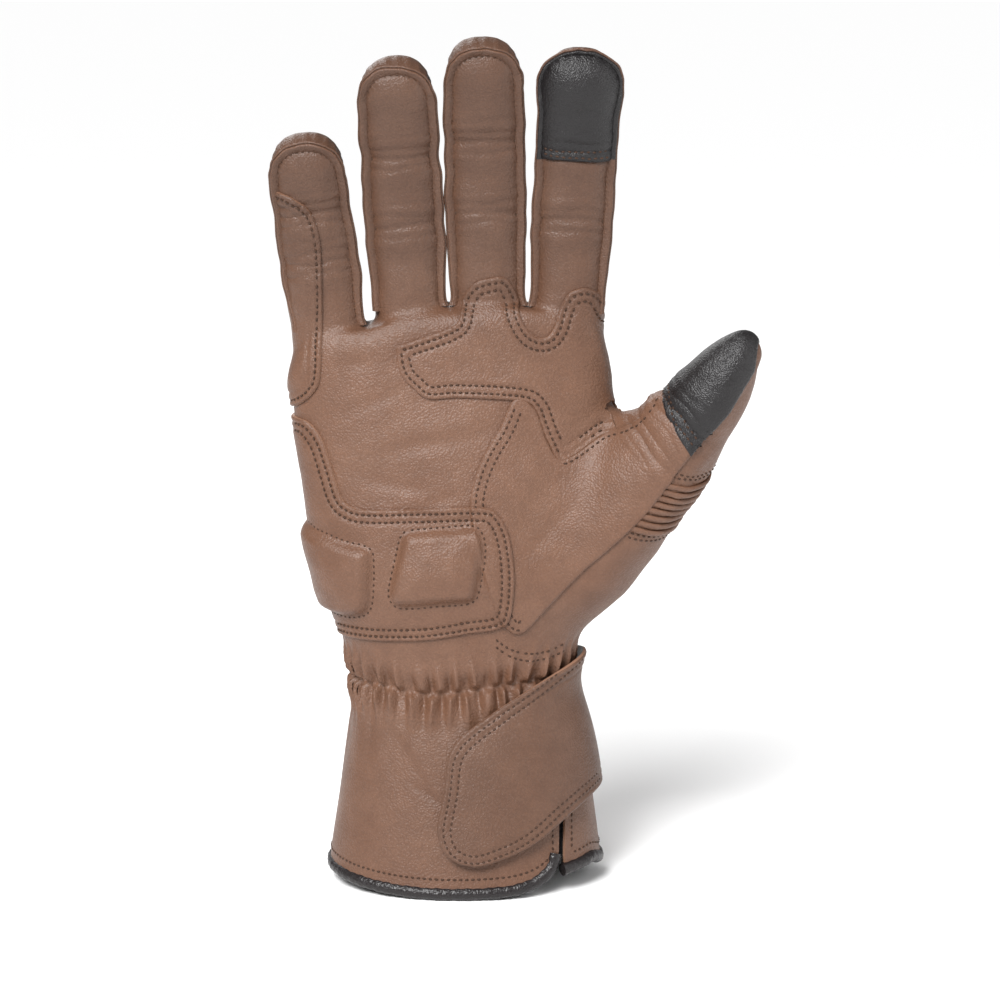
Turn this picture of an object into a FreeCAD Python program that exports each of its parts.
"""A right-hand leather riding glove with a short gauntlet cuff, standing on its hem with the fingers up.

Row frame, millimetres: +Z runs from the hem to the fingertips, the palm faces -Y and the thumb is on +X.
The row's origin is the middle of the glove's bounding box, on the plane that the hem stands on. Dimensions
below are measured from the middle of the cuff's opening instead, and ROW_ORIGIN is the step between the two.
Each rigid body (cuff, strap, hand, and three sections per finger, two for the thumb) is cut from one set of
lofted stations, so neighbouring pieces share their curves and keep a fixed clearance.
"""

import FreeCAD
import Part
import math
import os

V = FreeCAD.Vector

# Driving dimensions
ROW_ORIGIN = V(17.95, -0.17, 0.0)
LEATHER = 1.5            # shell leather with its bonded backing
LINING = 0.7             # inner fabric bag
SEAM_GAP = 0.3           # between two pieces that a seam joins
SEAM_PINCH = 0.1         # between an overlay and the leather under it
JOINT_GAP = 0.4          # each side of a bending crease
SQUARENESS = 2.5         # superellipse exponent of the hand and cuff sections

# Hand and cuff stations: height, left, right, palm side (front) and knuckle side (back)
HEM_Z = 3.6
CUFF_TOP_Z = 64.0
HAND_BOTTOM_Z = 76.0
CUFF_STATIONS = [
    (0.0, -45.5, 44.5, -31.0, 31.0),
    (30.0, -41.5, 41.0, -26.5, 27.5),
    (55.0, -38.0, 36.0, -22.5, 24.0),
    (67.0, -37.0, 34.0, -20.5, 22.5),
    (80.0, -38.0, 35.0, -20.5, 22.0),
]
HAND_STATIONS = [
    (HAND_BOTTOM_Z, -38.0, 34.0, -20.0, 22.0),
    (94.0, -43.5, 39.0, -23.5, 21.0),
    (110.0, -48.0, 42.0, -23.5, 20.0),
    (126.0, -50.5, 44.0, -21.5, 19.0),
    (152.0, -55.5, 46.0, -18.0, 17.5),
    (181.0, -56.5, 45.5, -13.5, 15.5),
    (198.0, -56.5, 46.0, -12.0, 14.5),
]
FINGER_LINE = [(-60.0, 180.5), (-31.0, 181.5), (-27.0, 186.5), (-5.0, 187.5), (-1.0, 189.5),
               (19.0, 189.5), (24.0, 187.5), (50.0, 187.5)]

# Wrist and strap joints
WRIST_AXIS = (1.0, 70.0)                 # Y and Z of the crease at the gathered wrist
STRAP_ROOT = (45.0, 8.0)                 # X and Y of the strap's sewn edge
SLIT_X = 31.5
SLIT_WIDTH = 2.0

# Fingers: name, root X, tip X, web height, tip height, half widths at root and tip, knuckle crease over the web
FINGERS = [
    ("little", -43.6, -50.0, 182.0, 243.0, 11.3, 10.3, 9.2),
    ("ring", -17.9, -21.0, 186.0, 267.0, 11.9, 10.6, 11.5),
    ("middle", 7.3, 5.8, 189.0, 273.0, 11.9, 11.0, 9.0),
    ("index", 32.6, 36.6, 187.0, 270.0, 11.9, 11.4, 10.2),
]
FINGER_Y = 1.0
CURL = (4.0, 12.0, 21.0)                 # forward lean of the three sections, degrees
MIDDLE_SHARE, TIP_SHARE = 0.37, 0.66       # joints, as shares of the run from web to tip
AXIS_OFFSET = 3.0                        # joint axis lies this far to the palm side of the middle
THICKNESS_SHARE = 0.95                   # finger half depth over half width
CORNER_SHARE = 0.55                      # corner radius over half width
BASE_RANGE, MIDDLE_RANGE, TIP_RANGE = (-12.0, 60.0), (0.0, 75.0), (0.0, 45.0)

# Thumb: its own frame is along (thumb axis), palm (towards its pad) and side
THUMB_ROOT = V(26.0, -2.0, 101.0)
THUMB_CROTCH = V(56.0, -8.5, 134.5)      # middle of the section where the thumb leaves the hand
THUMB_TIP = V(90.5, -21.0, 176.5)
THUMB_PAD_SIDE = V(-0.45, -0.85, 0.30)
THUMB_HALF = [(-46.0, 23.0, 17.0), (-22.0, 20.0, 16.0), (0.0, 17.0, 14.0), (8.0, 15.5, 13.2),
              (30.0, 12.6, 11.6)]        # along, half width, half depth
THUMB_BASE_AT, THUMB_TIP_AT = 13.5, 28.5
THUMB_BASE_RANGE, THUMB_TIP_RANGE = (-10.0, 30.0), (0.0, 50.0)

os.makedirs("parts", exist_ok=True)


# ---------------------------------------------------------------- helpers
def save(name, shape):
    """Writes one sub-part, after a test that it is made of closed solids."""
    solids = shape.Solids
    solids = [solid.translated(ROW_ORIGIN * -1) for solid in solids]
    assert solids and all(s.isValid() and s.Volume > 1 for s in solids), name
    Part.makeCompound(solids).exportStep(f"parts/{name}.step")
    box = shape.BoundBox
    print(f"{name:24s} {len(solids)} solid(s) {sum(s.Volume for s in solids):9.1f} mm3 "
          f"x {box.XMin:6.1f} {box.XMax:6.1f} y {box.YMin:6.1f} {box.YMax:6.1f} z {box.ZMin:6.1f} {box.ZMax:6.1f}")


def lerp(low, high, share):
    return low + (high - low) * share


def largest(shape):
    return max(shape.Solids, key=lambda s: s.Volume)


def section(station, grow=0.0, count=28):
    """Closed superellipse wire for one hand or cuff station, grown outwards by some millimetres."""
    z, left, right, front, back = station
    middle_x, half_x = (left + right) / 2, (right - left) / 2 + grow
    points = []
    for i in range(count):
        angle = 2 * math.pi * i / count
        c, s = math.cos(angle), math.sin(angle)
        x = middle_x + half_x * math.copysign(abs(c) ** (2 / SQUARENESS), c)
        half_y = (back if s > 0 else -front) + grow
        points.append(V(x, half_y * math.copysign(abs(s) ** (2 / SQUARENESS), s), z))
    curve = Part.BSplineCurve()
    curve.interpolate(points, PeriodicFlag=True)
    return Part.Wire([curve.toShape()])


def body_of_stations(stations, grow=0.0):
    return Part.makeLoft([section(s, grow) for s in stations], True, False)


def between(stations, inner, outer):
    """The layer between two offsets of the same lofted body."""
    return body_of_stations(stations, outer).cut(body_of_stations(stations, inner))


def slab(low, high):
    """Axis-aligned box from two corners."""
    return Part.makeBox(high[0] - low[0], high[1] - low[1], high[2] - low[2], V(*low))


def outline_prism(points, depth_low, depth_high, rounded=True):
    """Solid whose outline in X and Z runs through the points, reaching from one Y to another."""
    corners = [V(x, depth_low, z) for x, z in points]
    if rounded:
        curve = Part.BSplineCurve()
        curve.interpolate(corners, PeriodicFlag=True)
        wire = Part.Wire([curve.toShape()])
    else:
        wire = Part.makePolygon(corners + corners[:1])
    return Part.Face(wire).extrude(V(0, depth_high - depth_low, 0))


def grown(points, by):
    """The same outline pushed outwards from its middle by about some millimetres."""
    cx = sum(p[0] for p in points) / len(points)
    cz = sum(p[1] for p in points) / len(points)
    made = []
    for x, z in points:
        reach = math.hypot(x - cx, z - cz)
        made.append((x + (x - cx) / reach * by, z + (z - cz) / reach * by))
    return made


def rounded_section(half_width, half_depth, corner, height):
    """Rounded rectangle wire in a section's own frame, where Y runs to the back."""
    a, b, r = half_width, half_depth, corner
    k = r * (1 - math.sqrt(0.5))
    edges = []
    for sx, sy in ((1, -1), (1, 1), (-1, 1), (-1, -1)):
        first, last = V(sx * a, sy * (b - r), height), V(sx * (a - r), sy * b, height)
        middle = V(sx * (a - k), sy * (b - k), height)
        if sx * sy < 0:
            first, last = last, first
        edges.append(Part.Arc(first, middle, last).toShape())
    ring = []
    for i, arc in enumerate(edges):
        ring.append(arc)
        ring.append(Part.makeLine(arc.Vertexes[-1].Point, edges[(i + 1) % 4].Vertexes[0].Point))
    return Part.Wire(ring)


def sleeve(sizes, wall, closed):
    """Hollow ruled tube through (height, half width, half depth), open at its start and closed at a fingertip."""
    def layer(inset):
        wires = []
        for height, half_width, half_depth in sizes:
            a, b = half_width - inset, half_depth - inset
            wires.append(rounded_section(a, b, CORNER_SHARE * min(a, b), height))
        return Part.makeLoft(wires, True, True)
    outer, inner = layer(0), layer(wall)
    if closed:
        inner.translate(V(0, 0, -wall))
    return outer, inner


def dome(start, end, half_width, half_depth):
    """Sizes of a rounded fingertip between two heights."""
    made = []
    for share in (0.35, 0.6, 0.8, 0.93, 0.99):
        shrink = math.sqrt(1 - share ** 2.4)
        made.append((lerp(start, end, share), half_width * shrink, half_depth * shrink))
    return made


def crease_keep(axis_y, axis_z, lean, palm_angle, back_angle, above, reach=60.0, width=200.0):
    """Region on one side of a bending crease: a prism along X with its edge on the joint axis.

    lean turns it to the crease's own direction. Above or below the crease is kept, less the wedge that the
    other section sweeps when it bends by up to twice the palm or back angle.
    """
    side = 1 if above else -1
    drop = JOINT_GAP * side
    palm, back = math.radians(palm_angle), math.radians(back_angle)
    local = [(-reach * math.cos(palm), side * reach * math.sin(palm)), (0.0, 0.0),
             (reach * math.cos(back), side * reach * math.sin(back)),
             (reach * 1.2, side * reach * 2), (-reach * 1.2, side * reach * 2)]
    turn = math.radians(lean)
    points = []
    for y, z in local:
        z += drop
        points.append(V(-width / 2, axis_y + y * math.cos(turn) - z * math.sin(turn),
                        axis_z + y * math.sin(turn) + z * math.cos(turn)))
    face = Part.Face(Part.makePolygon(points + points[:1]))
    return face.extrude(V(width, 0, 0))


# ---------------------------------------------------------------- cuff
def make_cuff():
    top = slab((-80, -80, HEM_Z + SEAM_GAP), (80, 80, CUFF_TOP_Z))
    wall = between(CUFF_STATIONS, -LEATHER, 0).common(top)
    slit = slab((SLIT_X - SLIT_WIDTH / 2, -60, -1), (SLIT_X + SLIT_WIDTH / 2, 0, CUFF_TOP_Z + 1))
    side_seam = slab((-80, -SEAM_GAP / 2, -1), (0, SEAM_GAP / 2, CUFF_TOP_Z + 1))
    front_zone = slab((-80, -80, -1), (SLIT_X, 0, CUFF_TOP_Z + 1))
    front = wall.common(front_zone).cut(slit).cut(side_seam)
    back = wall.cut(front_zone).cut(slit).cut(side_seam)
    save("cuff_front", front)
    save("cuff_back", back)

    lining_zone = slab((-80, -80, HEM_Z + 2), (80, 80, CUFF_TOP_Z - 8))
    lining = between(CUFF_STATIONS, -LEATHER - SEAM_PINCH - LINING, -LEATHER - SEAM_PINCH)
    save("cuff_lining", lining.common(lining_zone))

    band = between(CUFF_STATIONS, -LEATHER - SEAM_PINCH - 1.0, -LEATHER - SEAM_PINCH)
    save("wrist_elastic", band.common(slab((-80, -80, CUFF_TOP_Z - 7), (80, 80, CUFF_TOP_Z - 0.5))))

    hem = CUFF_STATIONS[0]
    profile = [(0.0, 0.2), (0.5, 0.75), (1.8, 1.2), (3.1, 0.75), (HEM_Z, 0.2)]
    outer = Part.makeLoft([section((z,) + hem[1:], grow) for z, grow in profile], True, True)
    inner = Part.makeLoft([section((z,) + hem[1:], -LEATHER - 0.6) for z in (-1.0, HEM_Z + 1)], True, True)
    save("hem_piping", outer.cut(inner).cut(slit))

    gusset = between(CUFF_STATIONS, -2 * LEATHER - 1.7, -2 * LEATHER - 0.7)
    gusset_zone = slab((SLIT_X - 9, -60, HEM_Z + 2), (SLIT_X + 7, -2, CUFF_TOP_Z - 9))
    save("slit_gusset", gusset.common(gusset_zone))

    loop = between(CUFF_STATIONS, SEAM_PINCH, 0.7)
    save("loop_patch", loop.common(slab((-3.0, -60, 18), (24.0, 0, 46))))


# ---------------------------------------------------------------- closure strap
STRAP_OUTLINE = [(80.0, 79.0), (39.0, 75.0), (25.0, 65.5), (11.0, 57.5), (1.5, 51.5), (-4.5, 46.0), (-6.8, 34.0),
                 (-8.6, 21.0), (-8.0, 14.0), (-3.5, 10.0), (2.0, 9.2), (11.0, 11.5), (27.0, 20.5), (41.0, 30.0),
                 (80.0, 36.0)]


def make_strap():
    zone = outline_prism(STRAP_OUTLINE, -60, STRAP_ROOT[1], rounded=False)
    stations = [(-3.0,) + CUFF_STATIONS[0][1:]] + CUFF_STATIONS[1:]
    leather = between(stations, 1.75, 3.35).common(zone).common(slab((-20, -60, 0), (60, STRAP_ROOT[1], 79)))
    save("strap_leather", leather)
    hook = between(stations, 1.05, 1.65).common(slab((-1.5, -60, 20), (22.5, 0, 44)))
    save("hook_patch", hook)


# ---------------------------------------------------------------- hand
HEEL_OUTLINE = [(-53.5, 151.0), (-48.0, 149.0), (-44.0, 141.0), (-40.0, 129.0), (-34.0, 123.0), (-20.0, 122.6),
                (0.0, 123.4), (9.0, 121.5), (14.0, 113.0), (15.4, 101.0), (14.5, 91.0), (10.0, 85.5), (-6.0, 82.0),
                (-24.0, 79.5), (-38.0, 79.5), (-46.0, 90.0), (-51.0, 112.0), (-54.5, 134.0)]
DIAMOND_OUTLINE = [(-17.6, 114.6), (2.4, 115.6), (5.2, 112.0), (2.0, 95.5), (-2.0, 93.6), (-19.4, 93.0),
                   (-22.4, 96.6), (-20.2, 111.0)]
SIDE_PAD_OUTLINE = [(-45.6, 114.0), (-33.0, 111.0), (-30.6, 107.0), (-31.2, 94.0), (-35.0, 90.6), (-42.0, 91.0)]
GRIP_OUTLINE = [(-21.0, 175.0), (-3.5, 181.0), (1.0, 187.0), (12.0, 188.5), (17.0, 184.0), (24.5, 177.5),
                (29.0, 181.0), (33.0, 186.0), (43.0, 186.5), (44.0, 170.0), (44.5, 153.0), (40.0, 142.0),
                (30.0, 140.0), (25.5, 148.0), (22.0, 156.0), (12.0, 158.5), (-10.0, 159.5), (-17.0, 163.0)]
KNUCKLE_OUTLINE = [(-46.0, 168.0), (-20.0, 176.0), (8.0, 180.0), (36.0, 176.0), (40.0, 165.0), (32.0, 154.0),
                   (5.0, 156.0), (-24.0, 152.0), (-44.0, 151.0), (-50.0, 158.0)]
SIDE_PATCH_OUTLINE = [(-54.0, 181.0), (-47.5, 180.0), (-46.5, 168.0), (-49.0, 160.0), (-53.0, 155.0), (-57.0, 156.0),
                      (-58.0, 170.0)]
PAD_HEIGHT = 3.0


def thumb_frame():
    """Unit vectors along the thumb, towards its pad, and to the side that completes a right-handed set."""
    along = (THUMB_TIP - THUMB_CROTCH).normalize()
    pad = (THUMB_PAD_SIDE - along * THUMB_PAD_SIDE.dot(along)).normalize()
    side = along.cross(pad)
    return along, pad, side


def thumb_placement():
    """Places a section made along +Z, with its back on +Y, along the thumb from the crotch plane."""
    along, pad, side = thumb_frame()
    back = pad * -1
    rotation = FreeCAD.Rotation(side, back, along, "ZXY")
    return FreeCAD.Placement(THUMB_CROTCH, rotation)


def thumb_sizes(start, end, grow=0.0):
    """Half sizes of the thumb between two distances from the crotch plane, with the listed ones in between."""
    def at(distance):
        for low, high in zip(THUMB_HALF, THUMB_HALF[1:]):
            if distance <= high[0]:
                share = (distance - low[0]) / (high[0] - low[0])
                return lerp(low[1], high[1], share) + grow, lerp(low[2], high[2], share) + grow
        return THUMB_HALF[-1][1] + grow, THUMB_HALF[-1][2] + grow
    stops = [start] + [row[0] for row in THUMB_HALF if start < row[0] < end] + [end]
    return [(stop,) + at(stop) for stop in stops]


def thumb_loft(sizes):
    return Part.makeLoft([rounded_section(a, b, CORNER_SHARE * min(a, b), s) for s, a, b in sizes], True, True)


def finger_roots(grow=0.0):
    """Outsides, grown by some millimetres, and hollows of the short finger roots, which end at the first creases."""
    outsides, hollows = [], []
    for finger in FINGERS:
        half_width = finger[5]
        _, frames = finger_points(finger)
        _, axis_y, axis_z = finger_axes(finger)[0]
        sizes = [(s, half_width + grow, half_width * THICKNESS_SHARE + grow) for s in (-9.0, 15.0)]
        outside, hollow = sleeve(sizes, LEATHER, False)
        outside.Placement = frames[0][0]
        hollow.Placement = frames[0][0]
        low, high = BASE_RANGE
        below = crease_keep(axis_y, axis_z, CURL[0], high / 2 + 1.0, -low / 2 + 1.0, above=False)
        outsides.append(outside.common(below).common(slab((-90, -40, 176.0), (90, 40, 260))))
        hollows.append(hollow)
    return outsides, hollows


def hand_layer(inner, outer):
    """The layer between two distances from the hand's outer face, finger roots included."""
    body = body_of_stations(HAND_STATIONS, outer)
    roots, _ = finger_roots(outer)
    inner_roots, _ = finger_roots(inner)
    return body.fuse(roots).cut([body_of_stations(HAND_STATIONS, inner)] + inner_roots)


def make_hand():
    line = [(-80.0, FINGER_LINE[0][1])] + FINGER_LINE + [(80.0, FINGER_LINE[-1][1])]
    roof = outline_prism([(-80.0, 0.0)] + line + [(80.0, 0.0)], -60, 60, rounded=False)
    ceiling = [(x, z - LEATHER) for x, z in line]
    hollow_roof = outline_prism([(-80.0, 0.0)] + ceiling + [(80.0, 0.0)], -60, 60, rounded=False)
    crease = crease_keep(-AXIS_OFFSET, THUMB_BASE_AT, 0.0, THUMB_BASE_RANGE[1] / 2 + 1.0,
                         -THUMB_BASE_RANGE[0] / 2 + 1.0, above=False)
    root = thumb_loft(thumb_sizes(-40.0, 24.0)).common(crease)
    root_inner = thumb_loft(thumb_sizes(-39.0, 25.0, -LEATHER))
    for shape in (root, root_inner):
        shape.Placement = thumb_placement()

    hand_outer = body_of_stations(HAND_STATIONS)
    hand_inner = body_of_stations(HAND_STATIONS, -LEATHER)
    hand_core = body_of_stations(HAND_STATIONS, -LEATHER - SEAM_PINCH - LINING)
    split_front = slab((-90, -90, 0), (140, 1.0 - SEAM_GAP / 2, 260))
    split_back = slab((-90, 1.0 + SEAM_GAP / 2, 0), (140, 90, 260))

    outsides, hollows = finger_roots()
    hand_wall = hand_outer.common(roof).cut(hand_inner.common(hollow_roof))
    hand_wall = hand_wall.fuse(outsides).cut(hollows).cut(root)
    save("palm_leather", hand_wall.common(split_front))
    save("back_leather", hand_wall.common(split_back))
    inner_ends = slab((-90, -90, HAND_BOTTOM_Z + 1), (140, 90, 176))
    lining_outer = body_of_stations(HAND_STATIONS, -LEATHER - SEAM_PINCH).common(inner_ends)
    save("hand_lining", lining_outer.cut(hand_core).cut(root))

    thumb_wall = root.cut(root_inner).cut(hand_outer)
    save("thumb_panel", largest(thumb_wall.common(split_front)))
    save("thumb_root_back", largest(thumb_wall.common(split_back)))

    pads = []
    for name, outline in (("heel_diamond_pad", DIAMOND_OUTLINE), ("heel_side_pad", SIDE_PAD_OUTLINE)):
        layer = between(HAND_STATIONS, SEAM_PINCH, PAD_HEIGHT)
        pads.append(layer.common(outline_prism(outline, -60, 0, rounded=False)))
        save(name, pads[-1])
    heel_zone = outline_prism(HEEL_OUTLINE, -60, -2)
    heel = between(HAND_STATIONS, SEAM_PINCH, SEAM_PINCH + LEATHER).common(heel_zone)
    for outline in (DIAMOND_OUTLINE, SIDE_PAD_OUTLINE):
        cover = between(HAND_STATIONS, SEAM_PINCH, PAD_HEIGHT + LEATHER)
        heel = heel.fuse(cover.common(outline_prism(grown(outline, 2.2), -60, 0, rounded=False)))
    for outline in (DIAMOND_OUTLINE, SIDE_PAD_OUTLINE):
        pocket = between(HAND_STATIONS, -1.0, PAD_HEIGHT + SEAM_PINCH)
        heel = heel.cut(pocket.common(outline_prism(grown(outline, 0.4), -60, 0, rounded=False)))
    save("heel_patch", largest(heel.cut(root)))

    overlay = hand_layer(SEAM_PINCH, SEAM_PINCH + 1.2)
    grip_zone = outline_prism(GRIP_OUTLINE, -60, -2)
    fat_root = thumb_loft(thumb_sizes(-40.0, 24.0, SEAM_GAP))
    fat_root.Placement = thumb_placement()
    save("grip_patch", largest(overlay.common(grip_zone).cut(fat_root)))
    save("little_side_patch", largest(overlay.common(outline_prism(SIDE_PATCH_OUTLINE, -60, 8))))

    knuckle_zone = outline_prism(KNUCKLE_OUTLINE, 2, 60)
    padding = between(HAND_STATIONS, SEAM_PINCH, 2.4).common(knuckle_zone)
    save("knuckle_pad", padding.cut(finger_roots(SEAM_PINCH)[0]))
    guard_zone = outline_prism(grown(KNUCKLE_OUTLINE, 0.5), 2, 60)
    save("knuckle_guard", between(HAND_STATIONS, 2.5, 4.6).common(guard_zone))


# ---------------------------------------------------------------- fingers
def finger_points(finger):
    """Joint and end points of one finger's middle line, with each section's frame placement."""
    root_x, tip_x, web_z, tip_z = finger[1:5]
    rise = sum(share * math.cos(math.radians(lean)) for share, lean in
               zip((MIDDLE_SHARE, TIP_SHARE - MIDDLE_SHARE, 1 - TIP_SHARE), CURL))
    length = (tip_z - web_z) / rise
    splay = math.degrees(math.atan2(tip_x - root_x, tip_z - web_z))
    start = V(root_x, FINGER_Y, web_z)
    frames = []
    for low, high, lean in ((0.0, MIDDLE_SHARE, CURL[0]), (MIDDLE_SHARE, TIP_SHARE, CURL[1]), (TIP_SHARE, 1.0, CURL[2])):
        rotation = FreeCAD.Rotation(V(0, 1, 0), splay) * FreeCAD.Rotation(V(1, 0, 0), lean)
        frames.append((FreeCAD.Placement(start, rotation), low * length, high * length))
        start = start + rotation.multVec(V(0, 0, 1)) * ((high - low) * length)
    return length, frames


def finger_axes(finger):
    """Y and Z of the three joint axes of a finger, which all run along X, and the X of each crossing."""
    length, frames = finger_points(finger)
    found = []
    for (placement, low, _), along in zip(frames, (finger[7], MIDDLE_SHARE * length, TIP_SHARE * length)):
        point = placement.multVec(V(0, -AXIS_OFFSET, along - low))
        found.append((point.x, point.y, point.z))
    return found


def split_sleeve(sleeve_solid, half_depth, margin):
    """Front, back and side walls of a finger section, with a seam's gap between them."""
    cut = half_depth - margin
    big = 60
    front = sleeve_solid.common(slab((-big, -big, -big), (big, -cut - SEAM_GAP / 2, 2 * big)))
    back = sleeve_solid.common(slab((-big, cut + SEAM_GAP / 2, -big), (big, big, 2 * big)))
    sides = sleeve_solid.common(slab((-big, -cut + SEAM_GAP / 2, -big), (big, cut - SEAM_GAP / 2, 2 * big)))
    return front, back, sides


def make_finger(finger):
    name, half_root, half_tip = finger[0], finger[5], finger[6]
    length, frames = finger_points(finger)
    axes = finger_axes(finger)
    leans = [CURL[0], (CURL[0] + CURL[1]) / 2, (CURL[1] + CURL[2]) / 2]
    ranges = [BASE_RANGE, MIDDLE_RANGE, TIP_RANGE]
    keeps = []
    for (_, axis_y, axis_z), lean, (low, high) in zip(axes, leans, ranges):
        angles = (high / 2 + 1.0, -low / 2 + 1.0)
        keeps.append((crease_keep(axis_y, axis_z, lean, *angles, above=True),
                      crease_keep(axis_y, axis_z, lean, *angles, above=False)))
    half = [lerp(half_root, half_tip, share) for share in (0.0, MIDDLE_SHARE, TIP_SHARE, 0.85)]
    for index, part in enumerate(("base", "middle", "tip")):
        placement, low, high = frames[index]
        run = high - low
        a0, a1 = half[index], half[index + 1]
        b0, b1 = a0 * THICKNESS_SHARE, a1 * THICKNESS_SHARE
        ends = 8.0
        sizes = [(-ends, a0, b0), (0.0, a0, b0), (run, a1, b1), (run + ends, a1, b1)]
        if part == "tip":
            tip_start = run * 0.55
            sizes = [(-ends, a0, b0), (0.0, a0, b0), (tip_start, a1, b1)] + dome(tip_start, run, a1, b1)
        outer, inner = sleeve(sizes, LEATHER, part == "tip")
        shell = outer.cut(inner)
        if part == "tip":
            pieces = {"front": shell.common(slab((-60, -60, -60), (60, -SEAM_GAP / 2, 90))),
                      "back": shell.common(slab((-60, SEAM_GAP / 2, -60), (60, 60, 90)))}
        else:
            front, back, sides = split_sleeve(shell, min(b0, b1), 2.4)
            pieces = {"front": front, "back": back, "sides": sides}
        for kind, piece in pieces.items():
            placed = piece.copy()
            placed.Placement = placement
            placed = placed.common(keeps[index][0])
            if index < 2:
                placed = placed.common(keeps[index + 1][1])
            save(f"{name}_{part}_{kind}", placed)
        if name == "index" and part == "tip":
            cover = sleeve([(s, a + 1.3, b + 1.3) for s, a, b in sizes], 1.3 - SEAM_PINCH, False)
            patch = cover[0].cut(outer)
            patch = patch.common(slab((-60, -60, run * 0.02), (60, -a1 * 0.35, run * 0.97)))
            gap = sleeve([(s, a + SEAM_PINCH, b + SEAM_PINCH) for s, a, b in sizes], LEATHER, False)[0]
            patch = patch.cut(gap)
            patch.Placement = placement
            save("index_touch_tip", largest(patch.common(keeps[index][0])))


# ---------------------------------------------------------------- thumb
def make_thumb():
    along, pad, side = thumb_frame()
    total = (THUMB_TIP - THUMB_CROTCH).Length
    place = thumb_placement()

    def keep(at, bend, above):
        low, high = bend
        prism = crease_keep(-AXIS_OFFSET, at, 0.0, high / 2 + 1.0, -low / 2 + 1.0, above)
        return prism

    sections = [("base", 0.0, THUMB_TIP_AT), ("tip", THUMB_TIP_AT, total)]
    for part, low, high in sections:
        if part == "base":
            sizes = thumb_sizes(2.0, high + 9.0)
            zone = keep(THUMB_BASE_AT, THUMB_BASE_RANGE, True).common(keep(THUMB_TIP_AT, THUMB_TIP_RANGE, False))
        else:
            tip_start = lerp(low, high, 0.42)
            half_width, half_depth = THUMB_HALF[-1][1:]
            near_width, near_depth = half_width * 0.92, half_depth * 0.95
            sizes = [(low - 8.0, half_width, half_depth), (low, half_width, half_depth),
                     (tip_start, near_width, near_depth)] + dome(tip_start, high, near_width, near_depth)
            zone = keep(THUMB_TIP_AT, THUMB_TIP_RANGE, True)
        outer, inner = sleeve(sizes, LEATHER, part == "tip")
        shell = outer.cut(inner).common(zone)
        front = shell.common(slab((-60, -60, -60), (60, -SEAM_GAP / 2, 120)))
        back = shell.common(slab((-60, SEAM_GAP / 2, -60), (60, 60, 120)))
        for kind, piece in (("front", front), ("back", back)):
            piece.Placement = place
            save(f"thumb_{part}_{kind}", piece)
        if part == "tip":
            cover = sleeve([(s, a + 1.3, b + 1.3) for s, a, b in sizes], LEATHER, False)[0]
            gap = sleeve([(s, a + SEAM_PINCH, b + SEAM_PINCH) for s, a, b in sizes], LEATHER, False)[0]
            patch = cover.cut(gap).common(zone).common(slab((-60, -60, low + 1.0), (60, -3.0, high * 0.985)))
            patch.Placement = place
            save("thumb_touch_tip", largest(patch))
        else:
            made = []
            for i in range(4):
                start = 15.5 + 2.3 * i
                rib_sizes = thumb_sizes(start, start + 1.7)
                rib = thumb_loft([(s, a + 1.1, b + 1.1) for s, a, b in rib_sizes])
                hole = thumb_loft([(s, a + SEAM_PINCH, b + SEAM_PINCH) for s, a, b in
                                   thumb_sizes(start - 1.0, start + 3.0)])
                made.append(rib.cut(hole).common(slab((-9, 3.0, -60), (30, 60, 120))))
            ribs = Part.makeCompound([s for rib in made for s in rib.Solids])
            ribs.Placement = place
            save("thumb_flex_ribs", ribs)


make_cuff()
make_strap()
make_hand()
for one in FINGERS:
    make_finger(one)
make_thumb()
